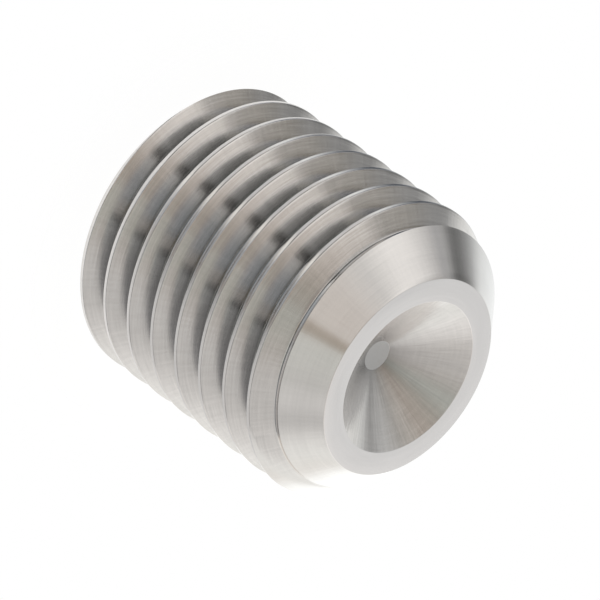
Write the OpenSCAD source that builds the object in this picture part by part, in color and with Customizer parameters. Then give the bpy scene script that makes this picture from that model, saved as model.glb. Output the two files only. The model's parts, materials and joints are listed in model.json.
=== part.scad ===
// Socket set screw: a headless steel screw with a right-hand outside thread from end to end,
// a hexagon socket in one end and a cup point with a flat ring around it at the other.
// All sizes are in millimetres. The screw stands on its socket end: the origin is the middle
// of that face, and +Z runs along the axis, up to the cup point.

/* [Body] */
// Length of the screw over its two end faces
length = 11.04; // [9:0.01:20]
// Small slant that breaks the sharp edge of the socket end, measured across the radius
end_break = 0.12; // [0.05:0.01:0.4]

/* [Thread] */
// Diameter over the crests of the thread
major_d = 10.91; // [10:0.01:14]
// Distance from one crest to the next, along the axis
pitch = 1.27; // [0.8:0.01:1.6]
// Angle between the two flanks of a ridge
flank_angle = 60; // [55:1:65]
// The flat on a crest is the pitch divided by this
crest_part = 8; // [6:1:12]
// The flat in a root is the pitch divided by this
root_part = 6; // [4:1:10]
// Direction in which a crest meets the socket end, counted from +X towards +Y
thread_start = 227; // [0:1:359]

/* [Cup point] */
// Diameter of the mouth of the cup
cup_d = 5.74; // [4.5:0.02:6.6]
// Angle across the hollow cone of the cup
cup_angle = 111; // [100:1:130]
// Diameter of the flat at the bottom of the cup
cup_floor_d = 1.1; // [0.4:0.05:2]
// Width of the flat ring around the mouth of the cup
rim_w = 0.84; // [0.4:0.02:1.4]
// Angle across the outer cone of the point
point_angle = 90; // [80:1:110]

/* [Hexagon socket] */
// Size of the socket between two opposite flats
socket_af = 5.56; // [4:0.01:6]
// Depth of the flats
socket_depth = 5.55; // [4:0.05:6]
// Angle across the drilled cone at the bottom
drill_angle = 120; // [110:1:140]
// Width of the slanted lead at the mouth, outside the corners
lead_w = 0.08; // [0.03:0.01:0.3]

/* [Hidden] */

// Flat steps of the helical ridge in one turn, and faces of the turned surfaces
steps = 60;
$fn = 120;
// How far the foot of the ridge reaches into the core, and how far a cutter passes a face
bite = 0.1;
over = 1;

major_r = major_d / 2;
crest_w = pitch / crest_part;
thread_depth = (pitch - crest_w - pitch / root_part) / 2 / tan(flank_angle / 2);
root_r = major_r - thread_depth;
foot_r = root_r - bite;
foot_w = crest_w + 2 * (major_r - foot_r) * tan(flank_angle / 2);

rim_r = cup_d / 2 + rim_w;
cup_depth = (cup_d - cup_floor_d) / 2 / tan(cup_angle / 2);
socket_corner_r = socket_af / 2 / cos(30);
lead_r = socket_corner_r + lead_w;
drill_depth = socket_af / 2 / tan(drill_angle / 2);

// The ridge runs past both end faces, so the shapes of the ends cut off its two blunt ends
ridge_low = -foot_w / 2 - bite;
ridge_high = length + foot_w / 2 + bite;
ridge_steps = ceil((ridge_high - ridge_low) / pitch * steps);

// Half outline of the space between the two ends: the broken edge below, the cone above.
// An outline with a wider middle than the thread cuts only at the ends.
module ends_outline(r) {
    polygon([
        [0, 0],
        [major_r - end_break, 0],
        [r, r - major_r + end_break],
        [r, length - (r - rim_r) / tan(point_angle / 2)],
        [rim_r, length],
        [0, length]
    ]);
}

// One point of the ridge: section corner p, carried i steps along the helix
function on_helix(p, i) =
    let (a = thread_start + 360 * ridge_low / pitch + 360 * i / steps)
    [p[0] * cos(a), p[0] * sin(a), ridge_low + pitch * i / steps + p[1]];

// The ridge of the thread: a four-cornered section swept along a right-hand helix
module thread_ridge() {
    section = [
        [foot_r, -foot_w / 2],
        [major_r, -crest_w / 2],
        [major_r, crest_w / 2],
        [foot_r, foot_w / 2]
    ];
    last = 4 * ridge_steps;
    sides = [
        for (i = [0 : ridge_steps - 1], c = [0 : 3])
            let (a = 4 * i + c, b = 4 * i + (c + 1) % 4)
            each [[a, b, b + 4], [a, b + 4, a + 4]]
    ];
    polyhedron(
        points = [for (i = [0 : ridge_steps], p = section) on_helix(p, i)],
        faces = concat([[3, 2, 1, 0], [last, last + 1, last + 2, last + 3]], sides),
        convexity = 20
    );
}

// The plain core of the screw, as wide as the roots of the thread
module core() {
    rotate_extrude()
        intersection() {
            ends_outline(major_r + over);
            square([root_r, length]);
        }
}

// The ridge, cut off at the two ends
module thread() {
    intersection() {
        thread_ridge();
        rotate_extrude()
            ends_outline(major_r + over);
    }
}

// The hollow cone in the point, with its flat floor
module cup() {
    rotate_extrude()
        polygon([
            [0, length - cup_depth],
            [cup_floor_d / 2, length - cup_depth],
            [cup_d / 2 + over * tan(cup_angle / 2), length + over],
            [0, length + over]
        ]);
}

// The hexagon socket: the flats, the drilled cone below them and the slanted lead at the mouth
module socket() {
    translate([0, 0, -over])
        cylinder(r = socket_corner_r, h = socket_depth + over, $fn = 6);
    translate([0, 0, socket_depth])
        cylinder(r1 = socket_af / 2, r2 = 0, h = drill_depth);
    translate([0, 0, -over])
        cylinder(r1 = lead_r + over, r2 = 0, h = lead_r + over);
}

module set_screw() {
    color([0.74, 0.72, 0.7])
        difference() {
            union() {
                core();
                thread();
            }
            cup();
            socket();
        }
}

set_screw();
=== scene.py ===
# %% [markdown]
# A socket set screw in turned stainless steel
#
# A set screw is a short rod of steel with a thread from end to end. It has no head: a hexagon key
# goes into a socket in one end, and the other end, the point, is pressed against a shaft. This one
# has a cup point, a flat ring around a shallow hollow cone, that bites into the shaft.
# The whole screw is one piece of metal, so the lesson makes one closed surface, gives the steel of
# each face the marks of the tool that cut it, and then builds the studio in which polished metal
# looks like metal.
# %% Load the frame
import json
import math

import bmesh
import bpy
import numpy as np
from mathutils import Matrix, Vector


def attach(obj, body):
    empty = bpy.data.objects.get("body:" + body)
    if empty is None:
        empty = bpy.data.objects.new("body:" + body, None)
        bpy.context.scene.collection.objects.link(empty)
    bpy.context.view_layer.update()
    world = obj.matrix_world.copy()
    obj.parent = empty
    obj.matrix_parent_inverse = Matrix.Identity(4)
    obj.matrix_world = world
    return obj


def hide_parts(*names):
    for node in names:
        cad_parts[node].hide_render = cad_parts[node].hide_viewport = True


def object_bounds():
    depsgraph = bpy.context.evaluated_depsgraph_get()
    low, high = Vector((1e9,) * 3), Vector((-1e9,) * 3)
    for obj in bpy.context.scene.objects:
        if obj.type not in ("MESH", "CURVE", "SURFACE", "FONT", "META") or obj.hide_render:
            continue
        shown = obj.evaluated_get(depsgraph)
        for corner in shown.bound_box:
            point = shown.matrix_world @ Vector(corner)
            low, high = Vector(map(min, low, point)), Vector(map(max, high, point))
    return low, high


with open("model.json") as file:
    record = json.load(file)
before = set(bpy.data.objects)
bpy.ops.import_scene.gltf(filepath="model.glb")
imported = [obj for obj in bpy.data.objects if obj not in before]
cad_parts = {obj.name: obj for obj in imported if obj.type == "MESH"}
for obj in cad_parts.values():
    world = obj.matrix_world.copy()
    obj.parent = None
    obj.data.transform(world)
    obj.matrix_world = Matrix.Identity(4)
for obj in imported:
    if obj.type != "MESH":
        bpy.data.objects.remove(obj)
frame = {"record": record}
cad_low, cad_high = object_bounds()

MM = 0.001
mounts = {m["name"]: m for m in frame["record"]["mounts"]}
length = cad_high.z - cad_low.z
major_r = mounts["thread"]["dims"]["r_mm"] * MM
print("length %.2f mm, crest radius %.3f mm" % (length / MM, major_r / MM))

# %% [markdown]
# The sizes of the thread
#
# The thread is a ridge that climbs round the rod by one pitch a turn. Cut along the axis, a ridge
# is a trapezoid with a narrow flat on its crest and another in the root. The standard form has 30
# degrees between a flank and a plane across the axis. A thread that is rolled and then polished is
# a little more open and has rounded roots, so the flanks here lean by 34 degrees. Real corners are
# never quite sharp, and the tiny rounds on the crest are what draws a thin bright line along every
# turn, so they are part of the shape.
# %% Sizes of the thread
pitch = 1.27 * MM
crest_w = pitch / 9
root_w = pitch / 8
flank_lean = math.radians(34)
root_r = major_r - (pitch - crest_w - root_w) / 2 / math.tan(flank_lean)
crest_round = 0.04 * MM
root_round = 0.1 * MM
round_steps = 4
# Direction in which a crest meets the socket end, from +X towards +Y, in degrees
thread_start = 227
print("thread depth %.3f mm, %.1f turns" % ((major_r - root_r) / MM, length / pitch))

# %% [markdown]
# One ridge as a list of points
#
# A round between two straight lines is an arc that touches both. Its start lies before the corner
# by the radius times the tangent of half the turn. The outline of a ridge is worked out once, from
# the middle of its crest to the middle of the root, and mirrored for the other side.


# %% Outline of one ridge
def arc(centre, radius, start, end, steps=round_steps):
    """Points at centre + radius * (sin a, cos a), for angles a from start to end in degrees."""
    a = np.radians(np.linspace(start, end, steps + 1))
    return np.stack([centre[0] + radius * np.sin(a), centre[1] + radius * np.cos(a)], axis=1)


def ridge_outline():
    """Half a ridge, with crest flat, crest round, flank, root round and root flat, and its mirror.

    Each point is (distance along the axis from the middle of the crest, radius)."""
    turn = 90 - math.degrees(flank_lean)
    reach = math.tan(math.radians(turn / 2))
    crest = arc((crest_w / 2 - reach * crest_round, major_r - crest_round), crest_round, 0, turn)
    root_side = pitch / 2 - root_w / 2 + reach * root_round
    root = arc((root_side, root_r + root_round), root_round, 180 + turn, 180)
    # Two more points close to the ends of the flank keep its shading flat between the rounds
    near_ends = np.array([0.08, 0.92])[:, None]
    flank = crest[-1] + (root[0] - crest[-1]) * near_ends
    half = np.concatenate([crest, flank, root])
    return np.concatenate([half[::-1] * [-1, 1], half])


ridge = ridge_outline()
print("one ridge is drawn by", len(ridge), "points")

# %% [markdown]
# Where the thread stops
#
# The ends of the screw are cones that cut through the ridges: a wide one at the point and a small
# broken edge at the socket. At any height and direction the radius is the smallest of three: the
# thread, the cone of the point and the broken edge. This is a height field wrapped around the axis.
# %% Sizes of the two ends
cup_r = 5.74 / 2 * MM
rim_w = 0.84 * MM
rim_r = cup_r + rim_w
point_lean = math.radians(45)
point_slope = math.tan(point_lean)
end_break = 0.12 * MM
rim_round = 0.03 * MM


def point_cone(z):
    """Radius of the cone of the point: the ring's, plus the way down from it times the slope."""
    return rim_r + (length - z) * point_slope


def edge_cone(z):
    """Radius of the broken edge, which starts below the crest's and grows as fast as the height."""
    return major_r - end_break + z


def thread_middle(turns):
    """Height of a crest's middle after so many turns from +X, before whole pitches are added."""
    return pitch * (turns - thread_start / 360)


def outer_radius(z, turns):
    """The smallest of the thread, the cone of the point and the broken edge of the socket end."""
    along = z - thread_middle(turns)
    thread = np.interp(along, ridge[:, 0], ridge[:, 1], period=pitch)
    return np.minimum(np.minimum(thread, point_cone(z)), edge_cone(z))


print("the ring is %.2f mm across outside and %.2f mm inside" % (2 * rim_r / MM, 2 * cup_r / MM))


# %% [markdown]
# Rows that follow the thread
#
# A plain grid would step across the slanting edges of the thread and show saw teeth. Here each row
# of points follows one point of the ridge round the helix instead, so every edge has a row of its
# own. Where a straight stretch of the outline runs through an end cone, one more row is put exactly
# on the crossing. Rows that would leave the screw are held at its ends, where they fall together,
# and the doubles are merged later, which also closes the seam: after one turn each row meets the
# row one pitch above it.
# %% Rows of the outside
around = 360
turns = np.linspace(0, 1, around + 1)
# Height at which the cone of the point goes over into the round of the ring
point_end = length - rim_round * math.tan(point_lean / 2) * math.cos(point_lean)


def crossing(z0, z1, r0, r1, cone):
    """Height at which the line from (z0, r0) to (z1, r1) meets a cone, held between its ends."""
    d0 = r0 - cone(z0)
    d1 = r1 - cone(z1)
    return z0 + (z1 - z0) * np.clip(d0 / (d0 - d1), 0, 1)


def outside_rows():
    """Heights of all rows at each angle: the ridge's own points and its crossings with both ends.

    A ridge too many is taken on either side, and the rows run from the point downwards."""
    pitches = np.arange(-1, math.ceil(length / pitch) + 2)
    along = (pitches[:, None] * pitch + ridge[None, :, 0]).ravel()
    radius = np.tile(ridge[:, 1], len(pitches))
    z = thread_middle(turns)[None, :] + along[:, None]
    r = np.repeat(radius[:, None], around + 1, axis=1)
    crossings = [crossing(z[:-1], z[1:], r[:-1], r[1:], cone) for cone in (point_cone, edge_cone)]
    crossings = np.sort(np.stack(crossings, axis=1), axis=1)
    rows = np.concatenate([z[:-1, None], crossings], axis=1).reshape(-1, around + 1)
    return np.clip(rows, 0, point_end)[::-1]


outside_z = outside_rows()
outside_r = outer_radius(outside_z, turns)
print("the outside has", outside_z.shape[0], "rows of", around, "points")

# %% [markdown]
# The cup point and the socket
#
# The flat ring, the cup and its small floor are turned, so their rows are plain circles. The socket
# is hexagonal: its wall lies at half the size across the flats, divided by the cosine of the angle
# from the middle of the nearest flat. A slanted lead at the mouth cuts into the flats in arcs, and
# a drill has left a cone at the bottom.
# %% Rows of the cup
# Half of the angle across the cup
cup_lean = math.radians(111 / 2)
floor_r = 1.1 / 2 * MM
cup_depth = (cup_r - floor_r) / math.tan(cup_lean)
cup_round = 0.03 * MM
floor_round = 0.03 * MM


def round_corner(corner, before, after, radius, steps=round_steps):
    """Points of an arc that rounds a corner between the directions before and after, both unit."""
    before = np.array(before)
    after = np.array(after)
    turn = math.acos(float(np.clip(before @ after, -1, 1)))
    reach = radius * math.tan(turn / 2)
    side = after - before
    centre = np.array(corner) + side / np.linalg.norm(side) * math.hypot(radius, reach)
    start = np.array(corner) - before * reach
    end = np.array(corner) + after * reach
    share = np.linspace(0, 1, steps + 1)[:, None]
    out = (start - centre) * np.sin((1 - share) * turn) + (end - centre) * np.sin(share * turn)
    return centre + out / math.sin(turn)


def cup_outline():
    """(radius, height) from the middle of the floor, up the cup and over the ring to the point."""
    up_cone = (math.sin(cup_lean), math.cos(cup_lean))
    flat = (1.0, 0.0)
    down = (math.sin(point_lean), -math.cos(point_lean))
    return np.concatenate([
        [(0.0, length - cup_depth)],
        round_corner((floor_r, length - cup_depth), flat, up_cone, floor_round),
        round_corner((cup_r, length), up_cone, flat, cup_round),
        round_corner((rim_r, length), flat, down, rim_round),
    ])


def full_circles(outline):
    """Repeats each (radius, height) of an outline at every angle."""
    return [np.repeat(outline[:, i, None], around + 1, axis=1) for i in (0, 1)]


cup_rows_r, cup_rows_z = full_circles(cup_outline())
print("the cup is %.2f mm deep" % (cup_depth / MM))

# %% Rows of the socket
socket_half = 5.56 / 2 * MM
socket_depth = mounts["hexagon_socket"]["dims"]["length_mm"] * MM
# The lead reaches a little past the hexagon's corners, and the drill's point is 120 degrees across
past_corners = 0.08 * MM
lead_r = socket_half / math.cos(math.radians(30)) + past_corners
drill_depth = socket_half / math.tan(math.radians(60))


def socket_rows():
    """(radius, height) from the socket's mouth to the tip of the drilled cone, at every angle."""
    from_flat = np.radians((turns * 360) % 60 - 30)
    wall = socket_half / np.cos(from_flat)
    same = np.ones_like(wall)
    r = [lead_r * same, wall, wall, socket_half * same, 0 * same]
    z = [0 * same, lead_r - wall, socket_depth * same, socket_depth * same]
    z.append((socket_depth + drill_depth) * same)
    return np.array(r), np.array(z)


socket_rows_r, socket_rows_z = socket_rows()
print("the socket is %.2f mm across its corners" % (2 * socket_rows_r[1].max() / MM))

# %% [markdown]
# From rows to a closed mesh
#
# Every surface is now an array of radii and one of heights, with the same angles, so they are
# stacked into one grid from the middle of the cup to the tip of the socket. The faces of a grid
# follow one rule, and numpy writes them all at once. Merging the doubles closes the seam and both
# poles, and the test at the end counts edges that don't have exactly two faces.


# %% Make the screw
# Points nearer than this are one, and faces that meet at more than this angle keep a sharp edge
weld = 0.0003 * MM
sharp_angle = math.radians(28)


def grid_mesh(name, r, z):
    """Points at (r cos a, r sin a, z), joined by one four-sided face for each cell of the grid."""
    a = turns * 2 * math.pi
    points = np.stack([r * np.cos(a), r * np.sin(a), z], axis=-1).reshape(-1, 3)
    rows, columns = r.shape
    first = np.arange(rows * columns).reshape(rows, columns)
    cells = np.stack([first[:-1, :-1], first[1:, :-1], first[1:, 1:], first[:-1, 1:]], axis=-1)
    mesh = bpy.data.meshes.new(name)
    mesh.from_pydata(points.tolist(), [], cells.reshape(-1, 4).tolist())
    return mesh


def close_mesh(mesh):
    """Merges points that fall together and smooths the faces, except over sharp edges."""
    work = bmesh.new()
    work.from_mesh(mesh)
    bmesh.ops.remove_doubles(work, verts=work.verts, dist=weld)
    bmesh.ops.dissolve_degenerate(work, edges=work.edges, dist=weld)
    open_edges = sum(not edge.is_manifold for edge in work.edges)
    volume = work.calc_volume() / MM**3
    print("%d faces, %d open edges, %.2f mm3" % (len(work.faces), open_edges, volume))
    work.to_mesh(mesh)
    work.free()
    mesh.polygons.foreach_set("use_smooth", np.ones(len(mesh.polygons), dtype=bool))
    mesh.set_sharp_from_angle(angle=sharp_angle)


screw_mesh = grid_mesh(
    "turned_screw",
    np.concatenate([cup_rows_r, outside_r, socket_rows_r]),
    np.concatenate([cup_rows_z, outside_z, socket_rows_z]),
)
close_mesh(screw_mesh)
screw = bpy.data.objects.new("turned_screw", screw_mesh)
bpy.context.scene.collection.objects.link(screw)
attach(screw, "root")
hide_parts("set_screw")

# %% [markdown]
# Writing shader maths as plain expressions
#
# A material is a tree of small nodes. Building it with a class that stands for one socket lets the
# maths be read as maths: adding or multiplying two of them adds the node that does it.


# %% A socket that can be used in sums
class Shade:
    """One output of a node tree, for use in expressions such as 1 - mask * 0.5."""

    def __init__(self, tree, socket=None):
        self.tree = tree
        self.socket = socket

    def node(self, kind, settings=None, inputs=None, output=0):
        """Adds a node: its settings first, then the values or links of its sockets.

        A socket is given by its name, or by its number where several have the same name."""
        made = self.tree.nodes.new(kind)
        for name, value in (settings or {}).items():
            if name == "stops":
                fill_ramp(made.color_ramp, value)
            else:
                setattr(made, name, value)
        for name, value in (inputs or {}).items():
            if isinstance(value, Shade):
                self.tree.links.new(value.socket, made.inputs[name])
            else:
                made.inputs[name].default_value = value
        return Shade(self.tree, made.outputs[output] if made.outputs else None)

    def maths(self, operation, *others):
        """One Math node: this socket first, then numbers or more sockets."""
        inputs = dict(enumerate((self, *others)))
        return self.node("ShaderNodeMath", {"operation": operation}, inputs)

    def swapped(self, operation, other):
        """One Math node with this socket last, for a number on the left of the sign."""
        return self.node("ShaderNodeMath", {"operation": operation}, {0: other, 1: self})

    def __add__(self, other):
        return self.maths("ADD", other)

    def __sub__(self, other):
        return self.maths("SUBTRACT", other)

    def __rsub__(self, other):
        return self.swapped("SUBTRACT", other)

    def __mul__(self, other):
        return self.maths("MULTIPLY", other)

    def __truediv__(self, other):
        return self.maths("DIVIDE", other)

    def __rtruediv__(self, other):
        return self.swapped("DIVIDE", other)

    __radd__ = __add__
    __rmul__ = __mul__


def mixed(share, first, second):
    """The first colour where the share is 0 and the second where it is 1."""
    inputs = {0: share, 6: first, 7: second}
    return share.node("ShaderNodeMix", {"data_type": "RGBA"}, inputs, 2)


def fill_ramp(ramp, stops):
    """Gives a colour ramp its stops, each a place and a colour."""
    while len(ramp.elements) < len(stops):
        ramp.elements.new(1.0)
    for element, (place, colour) in zip(ramp.elements, stops):
        element.position = place
        element.color = colour


def new_tree(owner):
    """Empties an owner's node tree and gives a Shade that adds nodes to it."""
    owner.use_nodes = True
    owner.node_tree.nodes.clear()
    return Shade(owner.node_tree)


# %% [markdown]
# Turned steel
#
# The screw is bare stainless steel. A lathe tool and the thread rollers leave fine rings round the
# axis, so a reflection is drawn out across the rings and stays crisp along them. The shader's
# anisotropy does this: its rotation of a quarter turns the long side of the highlight away from the
# rings. The rings themselves come from a noise that is stretched round the axis. It is read by
# radius, height and direction, and the direction goes in as a sine and a cosine, so that there is
# no seam. A second noise, stretched the other way, gives the fine scratches that run across the
# rings, and a third, much broader, keeps the tone from being even.
# %% Marks round the axis
# Spacing along the profile in millimetres, marks in a radian, and levels of finer detail
ring_noise = (0.07, 2.5, 2.0)
broad_noise = (0.45, 1.5, 1.0)
scratch_spacing = 1.2
scratch_detail = 2.0


def around_axis(shade):
    """Radius and height in millimetres, and the cosine and sine of the direction from the axis.

    The radius that divides is kept off zero, for the points on the axis itself."""
    place = shade.node("ShaderNodeTexCoord", output="Object")
    parts = [place.node("ShaderNodeSeparateXYZ", None, {"Vector": place}, part) for part in "XYZ"]
    x, y, z = [part * (1 / MM) for part in parts]
    radius = (x * x + y * y).maths("SQRT")
    safe = radius.maths("MAXIMUM", 0.01)
    return radius, z, x / safe, y / safe


def turned_noise(axis, spacing, count, detail):
    """Noise whose marks lie so far apart along the profile, and so many of them in a radian."""
    radius, z, cosine, sine = axis
    place = radius.node("ShaderNodeCombineXYZ", None, {
        "X": radius / spacing,
        "Y": z / spacing,
        "Z": cosine * count,
    })
    return place.node("ShaderNodeTexNoise", {"noise_dimensions": "4D"}, {
        "Vector": place,
        "W": sine * count,
        "Scale": 1.0,
        "Detail": detail,
    })


# %% [markdown]
# Painted shade in the hollows
#
# Little light reaches the bottom of a groove or of the cup, so shade is painted there: the steel's
# colour is mixed with black. The share of black is greatest at the smallest radius of the hollow
# and fades outwards as exp(-(radius - smallest radius) / reach). In a groove it is also multiplied
# by the square of the groove's depth, so that it goes where the groove runs out on the point.
# %% Share of painted shade in the hollows
# Shares of black painted into the cup and the grooves as shade, and how far each reaches in
# millimetres
cup_shade_share = 0.42
cup_reach = 0.75
groove_shade_share = 0.34
groove_reach = 0.15


def fading(radius, smallest, reach):
    """exp(-(radius - smallest) / reach), held at 1, all in millimetres."""
    return ((smallest - radius) / reach).maths("EXPONENT").maths("MINIMUM", 1)


def cup_painted_shade(axis):
    """Share of black painted into the cup as shade, strongest round its floor."""
    return cup_shade_share * fading(axis[0], floor_r / MM, cup_reach)


def groove_painted_shade(axis):
    """Share of black painted into a groove of the thread as shade, strongest at the bottom of the
    deep ones.

    The depth is measured from the crest or from the cone of the point, whichever is lower, as a
    share of the thread's full depth."""
    radius, z = axis[:2]
    cone = (rim_r + length * point_slope) / MM - z * point_slope
    depth = (cone.maths("MINIMUM", major_r / MM) - radius) / ((major_r - root_r) / MM)
    share = groove_shade_share * fading(radius, root_r / MM, groove_reach)
    return share * depth.maths("MAXIMUM", 0).maths("POWER", 2)


# %% The steel
steel_colour = (0.74, 0.72, 0.70)
# Black that is painted into the hollows as shade
black = (0, 0, 0, 1)
# The darkest and the lightest marks, as shares of the steel's colour
dark_mark = 0.88
light_mark = 1.12
# Share of the broad noise in the tone, beside the shares of rings and scratches
broad_share = 0.4
# Roughness of the smoothest steel and how much the marks add, as shares of the given roughness
smooth_part = 0.9
rough_part = 0.2


def steel_material(name, roughness, anisotropy, grain, colour=steel_colour, painted_shade=None):
    """Bare steel with rings and scratches in its relief, its roughness and slightly its colour.

    Grain is (depth of the relief in millimetres, share of rings, share of scratches, scratches in
    a radian). Painted shade is a function that gives the share of black painted into the bottom of
    a hollow as shade. A noise lies round one half, and the tone is shifted so that it lies round
    one half too."""
    material = bpy.data.materials.new(name)
    shade = new_tree(material)
    axis = around_axis(shade)
    depth, ring_share, scratch_share, scratch_count = grain
    rings = turned_noise(axis, *ring_noise)
    broad = turned_noise(axis, *broad_noise)
    scratches = turned_noise(axis, scratch_spacing, scratch_count, scratch_detail)
    marks = rings * ring_share + scratches * scratch_share
    shift = 0.5 - (ring_share + scratch_share + broad_share) / 2
    tone = marks + broad * broad_share + shift
    dark = tuple(dark_mark * part for part in colour) + (1,)
    light = tuple(min(light_mark * part, 1) for part in colour) + (1,)
    tint = mixed(tone, dark, light)
    # Painted shade: the colour is mixed towards black in the hollows, where little light reaches
    if painted_shade:
        tint = mixed(painted_shade(axis), tint, black)
    relief = shade.node("ShaderNodeBump", None, {
        "Strength": 1.0,
        "Distance": depth * MM,
        "Height": marks,
    })
    surface = shade.node("ShaderNodeBsdfPrincipled", None, {
        "Base Color": tint,
        "Metallic": 1.0,
        "Roughness": tone * (rough_part * roughness) + smooth_part * roughness,
        "Anisotropic": anisotropy,
        "Anisotropic Rotation": 0.25,
        "Normal": relief,
    })
    shade.node("ShaderNodeOutputMaterial", None, {"Surface": surface})
    return material


# %% [markdown]
# A finish for each surface
#
# The five finishes are the same steel. The thread is rolled, with strong rings. The cup is turned
# with a coarse tool that leaves scratches towards its middle. The flat ring and the socket end are
# faced, and the floor of the cup is the dull mark of a drill, rougher than the rest, and its colour
# is painted much darker as shade at the bottom of the hollow. Which finish a face has follows from
# where its middle lies and which way it looks.
# %% Which steel a face has
def face_slots(mesh):
    """Number of the steel of every face, in the order of the list of steels.

    A face is flat where its normal is nearly upright. It belongs to the thread where it lies
    outside the root and inside both end cones, and a few hundredths of a millimetre of room keep
    faces that lie on a limit on the right side of it."""
    count = len(mesh.polygons)
    centre = np.empty(count * 3)
    normal = np.empty(count * 3)
    mesh.polygons.foreach_get("center", centre)
    mesh.polygons.foreach_get("normal", normal)
    centre = centre.reshape(-1, 3)
    normal = normal.reshape(-1, 3)
    flat = 0.98
    near = 0.02 * MM
    inside = 0.004 * MM
    upright = np.abs(normal[:, 2]) > flat
    radius = np.hypot(centre[:, 0], centre[:, 1])
    height = centre[:, 2]
    within_ends = np.minimum(point_cone(height), edge_cone(height)) - inside
    thread = (radius > root_r - near) & (radius < within_ends)
    ends = np.minimum(height, length - height) < near
    cup = (radius < cup_r) & (height > length / 2)
    cup_floor = cup & (radius < floor_r + near)
    return np.select([upright & cup_floor, upright & ends, cup, thread], [4, 3, 2, 1], 0)


# %% Steel for each surface
bright = {"roughness": 0.19, "anisotropy": 0.78}
faint = (0.0004, 0.3, 0.1, 50)
steels = [
    steel_material("turned_steel", grain=(0.0016, 0.5, 0.4, 50), **bright),
    # The thread and the cup carry painted shade in their hollows
    steel_material("thread_steel", grain=(0.0016, 1.0, 0.7, 50), painted_shade=groove_painted_shade, **bright),
    steel_material("cup_steel", grain=(0.0016, 0.6, 1.2, 28), painted_shade=cup_painted_shade, **bright),
    steel_material("faced_steel", 0.24, 0.0, faint, colour=(0.74, 0.717, 0.698)),
    # The floor of the cup is rougher, as a drill leaves it, and its colour is darkened as painted
    # shade
    steel_material("drill_floor_with_painted_shade", 0.4, 0.0, faint, colour=(0.482, 0.48, 0.471)),
]
for steel in steels:
    screw.data.materials.append(steel)
slots = face_slots(screw.data)
screw.data.polygons.foreach_set("material_index", slots)
for steel, count in zip(steels, np.bincount(slots)):
    print("%5d faces of %s" % (count, steel.name))

# %% [markdown]
# The camera
#
# The picture is taken with a long lens from above, on the side of the cup point, and turned so that
# the screw seems to lie with its point to the lower right. The camera's place is given by its
# distance, its elevation and its roll about its own view direction.
# %% Camera
camera_distance = 183.87 * MM
camera_elevation = math.radians(37.63)
camera_roll = math.radians(125.58)
aim = Vector((0, 0, 5.42 * MM))
camera_data = bpy.data.cameras.new("camera")
camera_data.lens = 323.9
camera_data.sensor_width = 36
camera_data.clip_start = 0.01
camera_data.clip_end = 10
camera = bpy.data.objects.new("camera", camera_data)
bpy.context.scene.collection.objects.link(camera)
bpy.context.scene.camera = camera
back = Vector((0, -math.cos(camera_elevation), math.sin(camera_elevation)))
level = back.to_track_quat("Z", "Y").to_matrix()
camera.location = aim + back * camera_distance
camera.rotation_euler = (level @ Matrix.Rotation(camera_roll, 3, "Z")).to_euler()
print("camera at", [round(value / MM, 1) for value in camera.location], "mm")

# %% [markdown]
# A studio for polished metal
#
# Metal has no colour of its own to show: it shows the room. A product photographer therefore
# surrounds it with large soft panels, white for the bright sides and dark for the contours. Here
# the room is painted into the world as a background that grows lighter or darker with height, and
# soft panels on top. A direction's azimuth and elevation are its arctangent and arcsine, in
# degrees, and a panel is a soft-edged patch of the two. Where the panels stand was found by
# following the light back from the bright and dark bands that such a screw shows.
# %% Studio panels
# Brightness of the empty room at elevations from straight down to straight up
room = [
    (0.000, (0.57, 0.61, 0.57, 1)),
    (0.250, (0.67, 0.68, 0.70, 1)),
    (0.417, (0.96, 0.90, 0.84, 1)),
    (0.583, (0.99, 1.00, 0.98, 1)),
    (0.722, (1.40, 1.37, 1.35, 1)),
    (0.861, (0.34, 0.26, 0.20, 1)),
    (1.000, (0.55, 0.63, 0.62, 1)),
]
# Panels from back to front: azimuth, elevation, half width, half height, softness of the sides and
# of the top and bottom, lean (degrees of azimuth for one of elevation), and colour
panels = [
    (284, 4, 88, 21, 5, 45, -0.22, (0.15, 0.16, 0.18)),
    (118, -21, 60, 25, 16, 16, -0.31, (1.37, 1.40, 1.40)),
    (159, -1, 31, 47, 70, 4, 0.7, (0.07, 0.08, 0.10)),
    (188, 34, 19, 28, 28, 32, 0.83, (1.18, 1.16, 1.14)),
    (147, 54, 27, 30, 16, 4, 0.74, (0.22, 0.19, 0.14)),
    (172, -5, 13, 19, 7, 8, -0.38, (0.05, 0.07, 0.12)),
    (248, -27, 11, 26, 18, 4, 0.07, (1.40, 1.35, 1.28)),
    (285, -59, 31, 22, 69, 14, -0.24, (0.03, 0.03, 0.03)),
    (307, 58, 23, 7, 5, 50, -1.2, (0.63, 0.69, 0.66)),
    (289, 9, 6, 46, 5, 7, -0.09, (0.46, 0.37, 0.29)),
    (257, 20, 70, 19, 35, 40, 0.89, (0.09, 0.10, 0.09)),
    (271, -17, 30, 15, 69, 8, 0.04, (0.45, 0.49, 0.54)),
    (242, 4, 5, 31, 4, 18, 0.15, (0.03, 0.03, 0.03)),
    (297, 6, 3, 19, 4, 12, -0.15, (0.03, 0.03, 0.03)),
    (-1, 63, 27, 41, 50, 20, -0.51, (0.63, 0.62, 0.61)),
    (120, 44, 34, 22, 9, 50, 0.73, (0.74, 0.76, 0.78)),
    (136, 13, 9, 11, 8, 36, 0.35, (0.03, 0.03, 0.03)),
]


def smooth_step(value, zero_at, one_at):
    """s * s * (3 - 2 * s), where s is the share of the way from zero_at to one_at."""
    return value.node("ShaderNodeMapRange", {"interpolation_type": "SMOOTHSTEP"}, {
        "Value": value,
        "From Min": zero_at,
        "From Max": one_at,
    })


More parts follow.
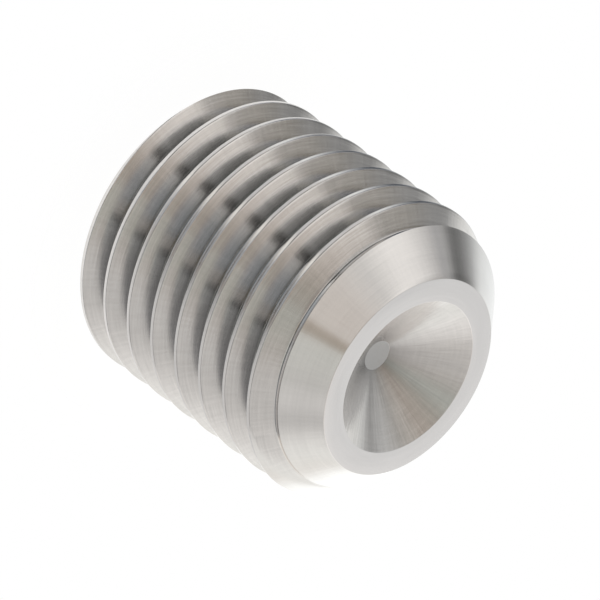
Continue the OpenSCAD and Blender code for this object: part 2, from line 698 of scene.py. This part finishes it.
def soft_patch(azimuth, elevation, panel):
    """1 inside a panel and 0 outside, with smooth edges of the panel's own softness, in degrees."""
    az, el, half_az, half_el, soft_az, soft_el, lean, _ = panel
    up = elevation - el
    along = (azimuth - az - up * lean).maths("WRAP", 180, -180)
    sides = smooth_step(along.maths("ABSOLUTE"), half_az + soft_az / 2, half_az - soft_az / 2)
    ends = smooth_step(up.maths("ABSOLUTE"), half_el + soft_el / 2, half_el - soft_el / 2)
    return sides * ends


# %% World
world = bpy.data.worlds.new("studio")
bpy.context.scene.world = world
shade = new_tree(world)
ray = shade.node("ShaderNodeTexCoord", output="Generated")
x, y, z = [ray.node("ShaderNodeSeparateXYZ", None, {"Vector": ray}, part) for part in "XYZ"]
degrees_in_radian = math.degrees(1)
azimuth = y.maths("ARCTAN2", x) * degrees_in_radian
elevation = z.maths("ARCSINE") * degrees_in_radian
colour = shade.node("ShaderNodeValToRGB", {"stops": room}, {"Fac": elevation / 180 + 0.5})
for panel in panels:
    colour = mixed(soft_patch(azimuth, elevation, panel), colour, panel[-1] + (1,))
seen = shade.node("ShaderNodeLightPath", output="Is Camera Ray")
studio = shade.node("ShaderNodeBackground", None, {"Color": colour, "Strength": 1.0})
white_light = (1, 1, 1, 1)
white = shade.node("ShaderNodeBackground", None, {"Color": white_light, "Strength": 1.0})
both = shade.node("ShaderNodeMixShader", None, {0: seen, 1: studio, 2: white})
shade.node("ShaderNodeOutputWorld", None, {"Surface": both})
bpy.context.scene.view_settings.view_transform = "Standard"
print(len(panels), "panels in the studio")

# %% [markdown]
# The floor
#
# The screw stands on a small round of pale paper that fades out at its edge, so that the picture's
# ground stays white. For the camera and for reflections the paper is mostly white light, and a part
# of it is still ordinary paper that takes the screw's shadow.
# %% Floor
floor_reach = 10 * MM
fade_from = 6 * MM
floor_z = -0.01 * MM
floor_sides = 96
paper_colour = (0.85, 0.85, 0.85, 1)
# Share of the paper that is white light, and how strong that is
glow_share = 0.85
glow_strength = 1.10


def floor_mesh():
    """A round of paper as one circle of points, r (cos a, sin a), just under the screw."""
    a = np.arange(floor_sides) / floor_sides * 2 * math.pi
    height = np.full(floor_sides, floor_z)
    points = np.stack([floor_reach * np.cos(a), floor_reach * np.sin(a), height], axis=1)
    mesh = bpy.data.meshes.new("floor")
    mesh.from_pydata(points.tolist(), [], [list(range(floor_sides))])
    return mesh


def floor_material():
    """Paper that shows white, takes a soft shadow, fades to its edge and is clear from below."""
    material = bpy.data.materials.new("pale_paper")
    shade = new_tree(material)
    place = shade.node("ShaderNodeTexCoord", output="Object")
    radius = shade.node("ShaderNodeVectorMath", {"operation": "LENGTH"}, {0: place}, "Value")
    fade = smooth_step(radius, fade_from, floor_reach)
    below = shade.node("ShaderNodeNewGeometry", output="Backfacing")
    paper = shade.node("ShaderNodeBsdfDiffuse", None, {"Color": paper_colour})
    glow = shade.node("ShaderNodeEmission", None, {"Color": white_light, "Strength": glow_strength})
    kinds = ("Is Camera Ray", "Is Glossy Ray", "Is Transmission Ray")
    rays = [shade.node("ShaderNodeLightPath", output=kind) for kind in kinds]
    seen = rays[0].maths("MAXIMUM", rays[1]).maths("MAXIMUM", rays[2])
    shown = shade.node("ShaderNodeMixShader", None, {0: seen * glow_share, 1: paper, 2: glow})
    clear = shade.node("ShaderNodeBsdfTransparent")
    gone = fade.maths("MAXIMUM", below)
    surface = shade.node("ShaderNodeMixShader", None, {0: gone, 1: shown, 2: clear})
    shade.node("ShaderNodeOutputMaterial", None, {"Surface": surface})
    return material


floor = bpy.data.objects.new("floor", floor_mesh())
floor.data.materials.append(floor_material())
bpy.context.scene.collection.objects.link(floor)
print("the floor is %.0f mm across" % (2 * floor_reach / MM))
